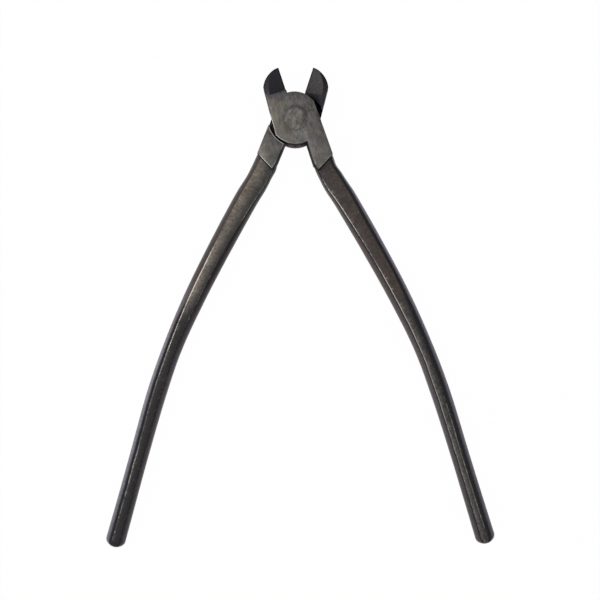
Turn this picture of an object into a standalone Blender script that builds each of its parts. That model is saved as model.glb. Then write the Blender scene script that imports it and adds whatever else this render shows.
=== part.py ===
"""Bonsai wire cutter: two forged levers, lapped at the head and turning on one flush rivet.

The tool lies flat on its rear face. +Z is the pivot axis, +Y runs to the jaw tips and +X to the right.
The origin is on the pivot axis, on the plane of the rear face. It rests partly open.
Both levers are drawn in one closed frame, with the cutting edge on the plane x = 0, and then opened.
"""
import math

import bmesh
import bpy
from mathutils import Matrix, Vector

MM = 0.001
MERGE = 0.005 * MM

# Head of each lever, in its closed frame
HEAD_THICKNESS = 11.0 * MM
CHEEK_RADIUS = 10.5 * MM
CHEEK_HEEL_RADIUS = 10.9 * MM
FRONT_CHEEK_GRIND = 0.35 * MM
REAR_CHEEK_FULLNESS = 0.4 * MM
STEP_CLEARANCE = 0.3 * MM
LAP_GAP = 0.2 * MM
EDGE_GAP = 0.04 * MM
TIP_REACH = 22.5 * MM
NOSE_DROP = 6.5 * MM
NOSE_WIDTH = 8.5 * MM
NOSE_RADIUS = 11.0 * MM
CHEEK_HALF_WIDTH = 9.75 * MM
CHEEK_CORNER_DROP = 4.0 * MM
ROOT_TOP_WIDTH = 9.15 * MM
ROOT_SHOULDER = 0.8 * MM
ROOT_END_WIDTH = 10.0 * MM
ROOT_INNER_TOP = 0.85 * MM
ROOT_INNER_END = 1.15 * MM
ROOT_INNER_LENGTH = 19.7 * MM
ROOT_POINT_X = 1.8 * MM
ROOT_POINT_LENGTH = 22.3 * MM
ROOT_OUTER_LENGTH = 18.7 * MM

# Cutting jaws
BEVEL_WIDTH = 6.9 * MM
BEVEL_HEEL = 12.1 * MM
STEP_CREASE_HEEL = 12.0 * MM
STEP_CREASE_RISE = 0.25 * MM
STEP_RELIEF_ANGLE = math.radians(15.0)
NOSE_TAPER_START = 12.0 * MM
TIP_HALF_THICKNESS = 1.2 * MM

# Handles: round bars that swell and thin along a bowed line, with a flat along the top and the bottom
HANDLE_START = 15.5 * MM
HANDLE_REACH = 184.3 * MM
HANDLE_DOME_LENGTH = 3.0 * MM
HANDLE_SET = math.radians(0.65)
HANDLE_SET_REACH = 52.0 * MM
HANDLE_SET_BOW = 12.0 * MM
HANDLE_STATIONS = [
    # share of the way from start to reach, bow away from the middle, bar radius, height of the flats
    (0.0, 5.6 * MM, 4.2 * MM, 2.9 * MM),
    (0.07, 6.7 * MM, 4.7 * MM, 3.0 * MM),
    (0.135, 9.3 * MM, 4.8 * MM, 3.55 * MM),
    (0.265, 13.55 * MM, 4.61 * MM, 3.95 * MM),
    (0.394, 17.1 * MM, 4.33 * MM, 3.9 * MM),
    (0.52, 19.4 * MM, 3.92 * MM, 3.65 * MM),
    (0.643, 19.95 * MM, 3.97 * MM, 3.7 * MM),
    (0.794, 19.2 * MM, 3.78 * MM, 3.57 * MM),
    (0.915, 18.45 * MM, 3.86 * MM, 3.64 * MM),
    (1.0, 17.95 * MM, 4.0 * MM, 3.74 * MM),
]

# Rivet
RIVET_RADIUS = 3.5 * MM
RIVET_HEAD_RADIUS = 4.7 * MM
RIVET_HEAD_DEPTH = 1.2 * MM
RIVET_CLEARANCE = 0.1 * MM

# Rest pose: how far each lever is turned out of the closed frame
HALF_OPENING = math.radians(18.28)

# Fineness of the curves
ARC_STEP = math.radians(6.0)
ROUND_STEPS = 72
BAR_RINGS_PER_STATION = 5
BAR_BEVEL_RESOLUTION = 10
DOME_RINGS = 5
DOME_SWEEP = math.radians(85.0)

# Sizes that follow from the ones above
HALF_HEAD = HEAD_THICKNESS / 2
CHEEK_SIDE_RADIUS = ROOT_TOP_WIDTH + ROOT_SHOULDER
FRONT_CHEEK_DROP = CHEEK_RADIUS - FRONT_CHEEK_GRIND
REAR_CHEEK_DROP = CHEEK_RADIUS + REAR_CHEEK_FULLNESS
STEP_RADIUS = REAR_CHEEK_DROP + STEP_CLEARANCE
CUT_MARGIN = 2.0 * MM

# Turns a drawing of (y, z) points, extruded along its own Z, to stand across the X axis
SIDE_VIEW = Matrix(((0, 0, 1), (1, 0, 0), (0, 1, 0))).to_4x4()


def clear_scene():
    for obj in list(bpy.data.objects):
        bpy.data.objects.remove(obj, do_unlink=True)


def new_collection(name):
    collection = bpy.data.collections.new(name)
    bpy.context.scene.collection.children.link(collection)
    return collection


def new_material(name, colour, roughness):
    material = bpy.data.materials.new(name)
    material.use_nodes = True
    shader = material.node_tree.nodes["Principled BSDF"]
    shader.inputs["Base Color"].default_value = (*colour, 1.0)
    shader.inputs["Metallic"].default_value = 1.0
    shader.inputs["Roughness"].default_value = roughness
    return material


def as_cutter(obj):
    obj.hide_render = True
    obj.display_type = "WIRE"
    return obj


def mesh_from_curve(curve_object, name, collection):
    """Replace a curve object by a closed mesh object at the same place."""
    evaluated = curve_object.evaluated_get(bpy.context.evaluated_depsgraph_get())
    mesh = bpy.data.meshes.new_from_object(evaluated)
    bm = bmesh.new()
    bm.from_mesh(mesh)
    bmesh.ops.remove_doubles(bm, verts=bm.verts, dist=MERGE)
    bmesh.ops.recalc_face_normals(bm, faces=bm.faces)
    bm.to_mesh(mesh)
    bm.free()
    obj = bpy.data.objects.new(name, mesh)
    obj.matrix_world = curve_object.matrix_world.copy()
    collection.objects.link(obj)
    bpy.data.objects.remove(curve_object, do_unlink=True)
    return obj


def outline_solid(name, points, half_thickness, collection):
    """A flat outline, filled on both sides and extruded to twice half_thickness."""
    curve = bpy.data.curves.new(name, "CURVE")
    curve.dimensions = "2D"
    curve.fill_mode = "BOTH"
    curve.extrude = half_thickness
    spline = curve.splines.new("POLY")
    spline.points.add(len(points) - 1)
    for point, (x, y) in zip(spline.points, points):
        point.co = (x, y, 0.0, 1.0)
    spline.use_cyclic_u = True
    curve_object = bpy.data.objects.new(name + "_outline", curve)
    collection.objects.link(curve_object)
    return mesh_from_curve(curve_object, name, collection)


def turned_solid(name, profile, collection):
    """A profile of (radius, height) points, top to bottom, turned about Z."""
    mesh = bpy.data.meshes.new(name)
    vertices = [(radius, 0.0, height) for radius, height in profile]
    edges = [(i, i + 1) for i in range(len(profile) - 1)]
    mesh.from_pydata(vertices, edges, [])
    obj = bpy.data.objects.new(name, mesh)
    collection.objects.link(obj)
    screw = obj.modifiers.new("Turn", "SCREW")
    screw.axis = "Z"
    screw.steps = ROUND_STEPS
    screw.render_steps = ROUND_STEPS
    screw.use_merge_vertices = True
    screw.merge_threshold = MERGE
    return obj


def box_solid(name, low, high, collection):
    bm = bmesh.new()
    bmesh.ops.create_cube(bm, size=1.0)
    size = Vector(high) - Vector(low)
    middle = (Vector(high) + Vector(low)) / 2
    bmesh.ops.scale(bm, vec=size, verts=bm.verts)
    bmesh.ops.translate(bm, vec=middle, verts=bm.verts)
    mesh = bpy.data.meshes.new(name)
    bm.to_mesh(mesh)
    bm.free()
    obj = bpy.data.objects.new(name, mesh)
    collection.objects.link(obj)
    return obj


def boolean(obj, operand, operation):
    modifier = obj.modifiers.new(operand.name, "BOOLEAN")
    modifier.operation = operation
    modifier.object = operand
    modifier.solver = "EXACT"


def oval(centre, radii, start, end):
    """Points on an arc of an ellipse, ends included, from angle start to angle end."""
    count = max(2, math.ceil(abs(end - start) / ARC_STEP))
    angles = [start + (end - start) * i / count for i in range(count + 1)]
    return [(centre[0] + radii[0] * math.cos(a), centre[1] + radii[1] * math.sin(a)) for a in angles]


def arc(centre, radius, start, end):
    return oval(centre, (radius, radius), start, end)


def set_turn(set_angle):
    """Turn of a handle and its root about a point part way along the handle."""
    centre = Matrix.Translation((HANDLE_SET_BOW, -HANDLE_SET_REACH, 0.0))
    return centre @ Matrix.Rotation(set_angle, 4, "Z") @ centre.inverted()


def nose_arc():
    """Arc of the jaw's nose, from the tip to the corner where its straight side starts."""
    tip = Vector((-EDGE_GAP, TIP_REACH))
    corner = Vector((-NOSE_WIDTH, TIP_REACH - NOSE_DROP))
    chord = corner - tip
    inwards = Vector((-chord.y, chord.x)).normalized()
    centre = (tip + corner) / 2 + inwards * math.sqrt(NOSE_RADIUS ** 2 - chord.length_squared / 4)
    start = math.atan2(tip.y - centre.y, tip.x - centre.x)
    end = math.atan2(corner.y - centre.y, corner.x - centre.x)
    return arc(centre, NOSE_RADIUS, start, end)


def head_outline(set_angle, cheek_drop):
    """Plan outline of jaw, cheek and handle root, counter-clockwise from the tip."""
    corner = (-CHEEK_HALF_WIDTH, -CHEEK_CORNER_DROP)
    low_start = math.pi + math.atan2(CHEEK_CORNER_DROP, CHEEK_HALF_WIDTH)
    low_end = 2 * math.pi - math.acos(ROOT_INNER_TOP / CHEEK_RADIUS)
    low = oval((0.0, 0.0), (CHEEK_RADIUS, cheek_drop), low_start, low_end)

    root_corners = [
        (ROOT_INNER_END, -ROOT_INNER_LENGTH, 0.0),
        (ROOT_POINT_X, -ROOT_POINT_LENGTH, 0.0),
        (ROOT_END_WIDTH, -ROOT_OUTER_LENGTH, 0.0),
    ]
    root = [(set_turn(set_angle) @ Vector(place)).to_2d() for place in root_corners]
    top_start = math.acos(ROOT_TOP_WIDTH / CHEEK_SIDE_RADIUS)
    top_end = math.acos(-EDGE_GAP / CHEEK_SIDE_RADIUS)
    top = oval((0.0, 0.0), (CHEEK_SIDE_RADIUS, CHEEK_HEEL_RADIUS), top_start, top_end)
    return nose_arc() + [corner] + low[1:] + root + top


def nose_taper(name, side, collection):
    """Cutter that rounds the jaw towards its tip on one face. side is 1 or -1."""
    run = TIP_REACH - NOSE_TAPER_START
    drop = HALF_HEAD - TIP_HALF_THICKNESS
    radius = (run * run + drop * drop) / (2 * drop)
    sweep = math.atan2(run, radius - drop)
    past_tip = sweep * (TIP_REACH + CUT_MARGIN / 2 - NOSE_TAPER_START) / run
    centre = (NOSE_TAPER_START, HALF_HEAD - radius)
    profile = arc(centre, radius, math.pi / 2, math.pi / 2 - past_tip)
    profile.append((profile[-1][0], HALF_HEAD + CUT_MARGIN))
    profile.append((NOSE_TAPER_START, HALF_HEAD + CUT_MARGIN))
    cutter = outline_solid(name, profile, NOSE_WIDTH + CUT_MARGIN, collection)
    turn = Matrix.Rotation(0.0 if side > 0 else math.pi, 4, "Y")
    cutter.matrix_world = turn @ SIDE_VIEW
    return as_cutter(cutter)


def bevel_cutter(name, side, heel, collection):
    """Cutter for the slope from the cutting edge to the outer face, above heel along the edge."""
    outline = [
        (-EDGE_GAP, 0.0),
        (-EDGE_GAP + CUT_MARGIN, 0.0),
        (-EDGE_GAP + CUT_MARGIN, HALF_HEAD + CUT_MARGIN),
        (-EDGE_GAP - BEVEL_WIDTH * (1 + CUT_MARGIN / HALF_HEAD), HALF_HEAD + CUT_MARGIN),
    ]
    length = TIP_REACH + CUT_MARGIN - heel
    cutter = outline_solid(name, outline, length / 2, collection)
    axes = Matrix(((1, 0, 0), (0, 0, -1), (0, 1, 0))).to_4x4()
    flip = Matrix.Scale(side, 4, (0, 0, 1))
    place = Matrix.Translation((0, heel + length / 2, 0))
    cutter.data.transform(flip @ place @ axes)
    if side < 0:
        cutter.data.flip_normals()
    return as_cutter(cutter)


def relief_cutter(name, collection):
    """Cutter for the sloping band between the bevel and the lap step, on the step face of the jaw."""
    heel = Vector((-EDGE_GAP, STEP_CREASE_HEEL, 0.0))
    crease = Vector((-BEVEL_WIDTH, STEP_CREASE_RISE, -HALF_HEAD)).normalized()
    fall = Vector((0.0, -math.cos(STEP_RELIEF_ANGLE), math.sin(STEP_RELIEF_ANGLE)))
    normal = fall.cross(crease).normalized()
    across = normal.cross(crease)
    low = (-CUT_MARGIN, -STEP_RADIUS, 0.0)
    high = (STEP_RADIUS + HALF_HEAD, CUT_MARGIN, HEAD_THICKNESS)
    band = box_solid(name + "_band", low, high, collection)
    turn = Matrix((crease, across, normal)).transposed().to_4x4()
    band.matrix_world = Matrix.Translation(heel) @ turn

    reach = TIP_REACH + CUT_MARGIN
    below_lap = box_solid(name, (-reach, 0.0, -HEAD_THICKNESS), (reach, reach, LAP_GAP / 2), collection)
    boolean(below_lap, as_cutter(band), "INTERSECT")
    band.parent = below_lap
    return as_cutter(below_lap)


def smooth_value(values, i, t):
    """Catmull-Rom value between values[i] and values[i + 1]."""
    before = values[max(i - 1, 0)]
    after = values[min(i + 2, len(values) - 1)]
    a, b = values[i], values[i + 1]
    slope_a = (b - before) / 2
    slope_b = (after - a) / 2
    t2, t3 = t * t, t * t * t
    blend_a = (2 * t3 - 3 * t2 + 1) * a + (t3 - 2 * t2 + t) * slope_a
    return blend_a + (3 * t2 - 2 * t3) * b + (t3 - t2) * slope_b


def handle_rings():
    """Rings of the bar between start and reach as (along, bow, radius, height of the flats)."""
    columns = list(zip(*HANDLE_STATIONS))
    rings = []
    for i in range(len(HANDLE_STATIONS) - 1):
        for k in range(BAR_RINGS_PER_STATION):
            share, *sizes = (smooth_value(column, i, k / BAR_RINGS_PER_STATION) for column in columns)
            rings.append((HANDLE_START + share * (HANDLE_REACH - HANDLE_START), *sizes))
    rings.append((HANDLE_REACH, *HANDLE_STATIONS[-1][1:]))
    return rings


def handle_line(set_angle):
    """Centre points and radii of one handle, from inside the head to the domed end."""
    rings = handle_rings()
    line = [(Vector((bow, -along, 0.0)), radius) for along, bow, radius, _ in rings[:-1]]
    end_along, end_bow, end_radius, _ = rings[-1]
    end = Vector((end_bow, -end_along, 0.0))
    heading = (end - line[-1][0]).normalized()
    for k in range(DOME_RINGS + 1):
        angle = DOME_SWEEP * k / DOME_RINGS
        point = end + heading * HANDLE_DOME_LENGTH * math.sin(angle)
        line.append((point, end_radius * math.cos(angle)))
    turn = set_turn(set_angle)
    return [(turn @ point, radius) for point, radius in line]


def flats_slab(name, collection):
    """Solid between the two flats of a handle, drawn from the side."""
    rings = handle_rings()
    reach = HANDLE_REACH + HANDLE_DOME_LENGTH + CUT_MARGIN
    upper = [(-along, height) for along, _, _, height in rings]
    upper.append((-reach, upper[-1][1]))
    lower = [(y, -height) for y, height in reversed(upper)]
    slab = outline_solid(name, upper + lower, reach, collection)
    slab.matrix_world = SIDE_VIEW
    return as_cutter(slab)


def handle_bar(name, set_angle, collection):
    line = handle_line(set_angle)
    curve = bpy.data.curves.new(name, "CURVE")
    curve.dimensions = "3D"
    curve.bevel_depth = MM
    curve.bevel_resolution = BAR_BEVEL_RESOLUTION
    curve.use_fill_caps = True
    spline = curve.splines.new("POLY")
    spline.points.add(len(line) - 1)
    for point, (place, radius) in zip(spline.points, line):
        point.co = (*place, 1.0)
        point.radius = radius / MM
    curve_object = bpy.data.objects.new(name + "_line", curve)
    collection.objects.link(curve_object)
    bar = mesh_from_curve(curve_object, name, collection)
    slab = flats_slab(name + "_flats", collection)
    boolean(bar, slab, "INTERSECT")
    slab.parent = bar
    return as_cutter(bar)


def lever(name, set_angle, cheek_drop, bore, material, parts, cutters):
    """One lever in its closed frame: jaw at -X, handle at +X, cheek on the upper half of the lap."""
    obj = outline_solid(name, head_outline(set_angle, cheek_drop), HALF_HEAD, parts)
    obj.data.materials.append(material)
    tag = name + "_"
    shaping = [
        as_cutter(turned_solid(tag + "lap_step", lap_profile(), cutters)),
        nose_taper(tag + "face_taper", 1, cutters),
        nose_taper(tag + "step_taper", -1, cutters),
        bevel_cutter(tag + "face_bevel", 1, BEVEL_HEEL, cutters),
        bevel_cutter(tag + "step_bevel", -1, CHEEK_RADIUS / 2, cutters),
        relief_cutter(tag + "step_relief", cutters),
    ]
    for cutter in shaping:
        boolean(obj, cutter, "DIFFERENCE")
    bar = handle_bar(tag + "handle_bar", set_angle, cutters)
    boolean(obj, bar, "UNION")
    boolean(obj, bore, "DIFFERENCE")
    for helper in shaping + [bar]:
        helper.parent = obj
    return obj


def lap_profile():
    """Space that the other lever's cheek takes below the lap plane."""
    top = LAP_GAP / 2
    bottom = -HALF_HEAD - CUT_MARGIN
    return [(0.0, top), (STEP_RADIUS, top), (STEP_RADIUS, bottom), (0.0, bottom)]


def rivet_profile(clearance, overrun):
    """Rivet with a countersunk head on each face, or with clearance and overrun the hole for it."""
    shank = RIVET_RADIUS + clearance
    head = RIVET_HEAD_RADIUS + clearance
    neck = HALF_HEAD - RIVET_HEAD_DEPTH
    half = [(0.0, HALF_HEAD + overrun), (head, HALF_HEAD + overrun)]
    if overrun:
        half.append((head, HALF_HEAD))
    half.append((shank, neck))
    return half + [(radius, -height) for radius, height in reversed(half)]


def main():
    clear_scene()
    parts = new_collection("bonsai_wire_cutter")
    cutters = new_collection("cutters")
    forged_steel = new_material("forged_steel", (0.07, 0.065, 0.065), 0.42)
    rivet_steel = new_material("rivet_steel", (0.16, 0.155, 0.145), 0.38)
    pivot = Matrix.Translation((0.0, 0.0, HALF_HEAD))

    bore = as_cutter(turned_solid("rivet_hole", rivet_profile(RIVET_CLEARANCE, CUT_MARGIN), cutters))
    bore.matrix_world = pivot

    front = lever("front_lever", HANDLE_SET, FRONT_CHEEK_DROP, bore, forged_steel, parts, cutters)
    front.matrix_world = pivot @ Matrix.Rotation(HALF_OPENING, 4, "Z")

    rear = lever("rear_lever", -HANDLE_SET, REAR_CHEEK_DROP, bore, forged_steel, parts, cutters)
    turned_over = Matrix.Rotation(math.pi, 4, "Y")
    rear.matrix_world = pivot @ Matrix.Rotation(-HALF_OPENING, 4, "Z") @ turned_over

    rivet = turned_solid("pivot_rivet", rivet_profile(0.0, 0.0), parts)
    rivet.data.materials.append(rivet_steel)
    rivet.matrix_world = pivot


main()
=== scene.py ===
import math

import bmesh
import bpy
from mathutils import Matrix, Vector
from mathutils.bvhtree import BVHTree
from mathutils.interpolate import poly_3d_calc
from mathutils.kdtree import KDTree


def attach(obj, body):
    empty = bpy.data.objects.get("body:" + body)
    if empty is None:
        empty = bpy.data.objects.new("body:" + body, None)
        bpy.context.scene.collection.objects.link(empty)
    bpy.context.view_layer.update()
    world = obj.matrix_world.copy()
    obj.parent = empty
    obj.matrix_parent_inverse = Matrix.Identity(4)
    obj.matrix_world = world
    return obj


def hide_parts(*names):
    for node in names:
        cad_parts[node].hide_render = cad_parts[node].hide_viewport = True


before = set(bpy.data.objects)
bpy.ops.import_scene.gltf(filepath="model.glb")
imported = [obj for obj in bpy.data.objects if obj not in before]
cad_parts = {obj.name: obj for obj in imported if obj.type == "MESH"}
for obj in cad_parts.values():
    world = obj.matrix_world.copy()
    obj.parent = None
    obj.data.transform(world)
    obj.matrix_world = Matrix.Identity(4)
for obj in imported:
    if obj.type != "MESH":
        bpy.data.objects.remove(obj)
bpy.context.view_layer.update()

MM = 0.001
MERGE = 0.002 * MM
TOUCHING = 0.0002 * MM

# Head of each lever, in its closed frame: pivot at the origin, tip at +Y, cutting edge on x = 0
HALF_HEAD = 5.5 * MM
CHEEK_RADIUS = 10.5 * MM
CHEEK_HEEL_RADIUS = 10.9 * MM
FRONT_CHEEK_DROP = 10.15 * MM
REAR_CHEEK_DROP = 10.9 * MM
STEP_RADIUS = 11.2 * MM
LAP_GAP = 0.2 * MM
EDGE_GAP = 0.04 * MM
TIP_REACH = 22.5 * MM
NOSE_DROP = 6.5 * MM
NOSE_WIDTH = 8.5 * MM
NOSE_RADIUS = 11.0 * MM
CHEEK_HALF_WIDTH = 9.75 * MM
CHEEK_CORNER_DROP = 4.0 * MM
ROOT_TOP_WIDTH = 9.15 * MM
ROOT_SHOULDER = 0.8 * MM
ROOT_END_WIDTH = 10.0 * MM
ROOT_INNER_TOP = 0.85 * MM
ROOT_INNER_END = 1.15 * MM
ROOT_INNER_LENGTH = 19.7 * MM
ROOT_POINT_X = 2.1 * MM
ROOT_POINT_LENGTH = 22.5 * MM
ROOT_OUTER_LENGTH = 18.15 * MM
NOSE_TIP = Vector((-EDGE_GAP, TIP_REACH))
NOSE_CORNER = Vector((-NOSE_WIDTH, TIP_REACH - NOSE_DROP))
RIM_ROUND = 0.22 * MM
STEP_RIM_DEPTH = 0.12 * MM
STEP_RIM_WIDTH = 0.35 * MM
JAW_STEP_REACH = 10.82 * MM
JAW_STEP_TURN = math.radians(120.0)
DRAFT_DEPTH = 0.6 * MM
DRAFT_HEIGHT = 2.6 * MM

# Cutting jaws
BEVEL_WIDTH = 6.9 * MM
BEVEL_HEEL = 12.1 * MM
STEP_CREASE_HEEL = 12.0 * MM
STEP_CREASE_RISE = 0.25 * MM
STEP_RELIEF_ANGLE = math.radians(15.0)
NOSE_TAPER_START = 12.0 * MM
TIP_HALF_THICKNESS = 1.2 * MM

# Handles
HANDLE_START = 15.5 * MM
HANDLE_REACH = 184.3 * MM
HANDLE_DOME_LENGTH = 3.0 * MM
HANDLE_SET = math.radians(0.65)
HANDLE_SET_REACH = 52.0 * MM
HANDLE_SET_BOW = 12.0 * MM
HANDLE_STATIONS = [
    # share of the way from start to reach, bow away from the middle, bar radius, height of the flats
    (0.0, 5.6 * MM, 4.2 * MM, 2.9 * MM),
    (0.07, 6.7 * MM, 4.7 * MM, 3.0 * MM),
    (0.135, 9.3 * MM, 4.8 * MM, 3.55 * MM),
    (0.265, 13.55 * MM, 4.61 * MM, 3.95 * MM),
    (0.394, 17.1 * MM, 4.33 * MM, 3.9 * MM),
    (0.52, 19.4 * MM, 3.92 * MM, 3.65 * MM),
    (0.643, 19.95 * MM, 3.97 * MM, 3.7 * MM),
    (0.794, 19.2 * MM, 3.78 * MM, 3.57 * MM),
    (0.915, 18.45 * MM, 3.86 * MM, 3.64 * MM),
    (1.0, 17.95 * MM, 4.0 * MM, 3.74 * MM),
]
RING_STEP = 0.55 * MM
DOME_RINGS = 12
SECTION_POINTS = 80
ROOT_FILL_PLACE = 6.0 * MM
ROOT_FILL_LENGTH = 2.8 * MM
ROOT_TRIM_PLACE = 7.2 * MM
ROOT_TRIM_LENGTH = 2.8 * MM
PALM_START, PALM_FULL = 0.25, 0.75  # shares of the handle between which its palm side fills out
EDGE_GATHER = 1.7  # above 1 the section's points gather at the edges of the flats
WIDEST_FLAT = 0.97  # share of the bar's radius that a flat's height may reach
DOME_LIMIT = 0.999  # the dome stops just short of a point

# Rivet
RIVET_RADIUS = 3.5 * MM
RIVET_HEAD_RADIUS = 4.7 * MM
RIVET_HEAD_DEPTH = 1.2 * MM
RIVET_GAP = 0.015 * MM

# Rest pose
HALF_OPENING = math.radians(18.28)

# Fineness of the curves
ARC_STEP = math.radians(2.5)
ROUND_STEPS = 144
SHARP_ANGLE = math.radians(22.0)
NEARLY_STRAIGHT = 0.001
CUT_MARGIN = 2.0 * MM

# Camera, looking straight down at the tool
CAMERA_PLACE = (1.486 * MM, -73.02 * MM, 519.0 * MM)
CAMERA_LENS = 75.887
CAMERA_SENSOR = 36.0
CAMERA_ROLL = math.radians(-0.14)

# Stage
FLOOR_SIZE = 12.0
FLOOR_DROP = 0.5 * MM
FLOOR_GLOW = 0.985
LIT_PLACE = (0.0, -0.07, 0.0)


class Wire:
    """A socket of a node tree. Arithmetic on it adds Math nodes. One without a socket only adds nodes."""

    def __init__(self, tree, socket=None):
        self.tree = tree
        self.socket = socket

    def node(self, kind, settings=None, inputs=None, output=0):
        """Add a node, set its settings and then its inputs, and give back one of its outputs."""
        made = self.tree.nodes.new(kind)
        for name, value in (settings or {}).items():
            if name == "stops":
                set_stops(made.color_ramp, value)
            else:
                setattr(made, name, value)
        for key, value in (inputs or {}).items():
            if isinstance(value, Wire):
                self.tree.links.new(value.socket, made.inputs[key])
            else:
                made.inputs[key].default_value = value
        return Wire(self.tree, made.outputs[output])

    def math(self, operation, *values):
        return self.node("ShaderNodeMath", {"operation": operation}, dict(enumerate(values)))

    def __add__(self, other):
        return self.math("ADD", self, other)

    def __radd__(self, other):
        return self.math("ADD", other, self)

    def __sub__(self, other):
        return self.math("SUBTRACT", self, other)

    def __rsub__(self, other):
        return self.math("SUBTRACT", other, self)

    def __mul__(self, other):
        return self.math("MULTIPLY", self, other)

    def __truediv__(self, other):
        return self.math("DIVIDE", self, other)

    def __rtruediv__(self, other):
        return self.math("DIVIDE", other, self)

    def __pow__(self, other):
        return self.math("POWER", self, other)

    def ramp(self, low, high):
        """0 below low, 1 above high and smooth between. With low above high it falls."""
        settings = {"interpolation_type": "SMOOTHSTEP"}
        return self.node("ShaderNodeMapRange", settings, {"Value": self, "From Min": low, "From Max": high})

    def blend(self, first, second):
        """The first colour where this mask is 0 and the second where it is 1."""
        return self.node("ShaderNodeMix", {"data_type": "RGBA"}, {0: self, 6: first, 7: second}, 2)


def set_stops(ramp, stops):
    """Stops of a colour ramp as (place, grey) pairs."""
    while len(ramp.elements) > 1:
        ramp.elements.remove(ramp.elements[-1])
    for i, (place, grey) in enumerate(stops):
        stop = ramp.elements[0] if i == 0 else ramp.elements.new(place)
        stop.position = place
        stop.color = (grey, grey, grey, 1.0)


def colour(red, green, blue):
    """A colour given in screen values from 0 to 255, as the linear one that a socket takes."""
    screen = [value / 255 for value in (red, green, blue)]
    linear = [((v + 0.055) / 1.055) ** 2.4 if v > 0.04045 else v / 12.92 for v in screen]
    return (*linear, 1.0)


# Solids


def link(name, data):
    obj = bpy.data.objects.new(name, data)
    bpy.context.scene.collection.objects.link(obj)
    return obj


def mesh_of(name, bm):
    """A mesh with doubles merged and its faces pointing outwards."""
    bmesh.ops.remove_doubles(bm, verts=bm.verts, dist=MERGE)
    bmesh.ops.recalc_face_normals(bm, faces=bm.faces)
    mesh = bpy.data.meshes.new(name)
    bm.to_mesh(mesh)
    bm.free()
    return mesh


def lofted(name, rings):
    """A closed solid through rings of points, each ring of the same count."""
    bm = bmesh.new()
    loops = [[bm.verts.new(point) for point in ring] for ring in rings]
    count = len(rings[0])
    for low, high in zip(loops, loops[1:]):
        for i in range(count):
            j = (i + 1) % count
            bm.faces.new((low[i], low[j], high[j], high[i]))
    bm.faces.new(loops[0])
    bm.faces.new(loops[-1])
    return link(name, mesh_of(name, bm))


def prism(name, outline, low, high):
    return lofted(name, [[(x, y, z) for x, y in outline] for z in (low, high)])


def turned(name, profile):
    """A solid turned about Z from (radius, height) points. Only the first and last may lie on the axis."""
    angles = [2 * math.pi * i / ROUND_STEPS for i in range(ROUND_STEPS)]
    rings = []
    for radius, height in profile:
        rings.append([(radius * math.cos(a), radius * math.sin(a), height) for a in angles])
    return lofted(name, rings)


def box(name, low, high):
    outline = [(low[0], low[1]), (high[0], low[1]), (high[0], high[1]), (low[0], high[1])]
    return prism(name, outline, low[2], high[2])


def combine(obj, operand, operation):
    """Cut, join or intersect a solid with another one, which is used up."""
    modifier = obj.modifiers.new(operation, "BOOLEAN")
    modifier.operation = operation
    modifier.object = operand
    modifier.solver = "EXACT"
    settle(obj)
    bpy.data.objects.remove(operand, do_unlink=True)


def settle(obj):
    """Make what the modifiers give the object's own mesh."""
    bpy.context.view_layer.update()
    evaluated = obj.evaluated_get(bpy.context.evaluated_depsgraph_get())
    mesh = bpy.data.meshes.new_from_object(evaluated)
    obj.modifiers.clear()
    obj.data = mesh


def merge_touching(mesh):
    """Merge corners that a join left on top of each other."""
    bm = bmesh.new()
    bm.from_mesh(mesh)
    bmesh.ops.remove_doubles(bm, verts=bm.verts, dist=TOUCHING)
    bmesh.ops.dissolve_degenerate(bm, edges=bm.edges, dist=TOUCHING)
    bm.to_mesh(mesh)
    bm.free()


def oval(centre, radii, start, end):
    """Points on an arc of an ellipse, ends included, from angle start to angle end."""
    count = max(2, math.ceil(abs(end - start) / ARC_STEP))
    angles = [start + (end - start) * i / count for i in range(count + 1)]
    return [(centre[0] + radii[0] * math.cos(a), centre[1] + radii[1] * math.sin(a)) for a in angles]


def arc(centre, radius, start, end):
    return oval(centre, (radius, radius), start, end)


def inset(outline, depths):
    """The outline, drawn counter-clockwise, with each edge moved inwards by its own depth."""
    moved = []
    for i, point in enumerate(outline):
        before = Vector(point) - Vector(outline[i - 1])
        after = Vector(outline[(i + 1) % len(outline)]) - Vector(point)
        left_before = Vector((-before.y, before.x)).normalized()
        left_after = Vector((-after.y, after.x)).normalized()
        rows = Matrix((left_before, left_after))
        if abs(rows.determinant()) > NEARLY_STRAIGHT:
            step = rows.inverted() @ Vector((depths[i - 1], depths[i]))
        else:
            step = left_after * depths[i]
        moved.append(tuple(Vector(point) + step))
    return moved


# Head of a lever


def set_turn(set_angle):
    """Turn of a handle and its root about a point part way along the handle."""
    centre = Matrix.Translation((HANDLE_SET_BOW, -HANDLE_SET_REACH, 0.0))
    return centre @ Matrix.Rotation(set_angle, 4, "Z") @ centre.inverted()


def nose_centre():
    """Centre of the jaw's round nose, which runs from the tip to the corner at its straight side."""
    chord = NOSE_CORNER - NOSE_TIP
    inwards = Vector((-chord.y, chord.x)).normalized()
    return (NOSE_TIP + NOSE_CORNER) / 2 + inwards * math.sqrt(NOSE_RADIUS ** 2 - chord.length_squared / 4)


def nose_arc():
    centre = nose_centre()
    start, end = (math.atan2(place.y - centre.y, place.x - centre.x) for place in (NOSE_TIP, NOSE_CORNER))
    return arc(centre, NOSE_RADIUS, start, end)


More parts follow.
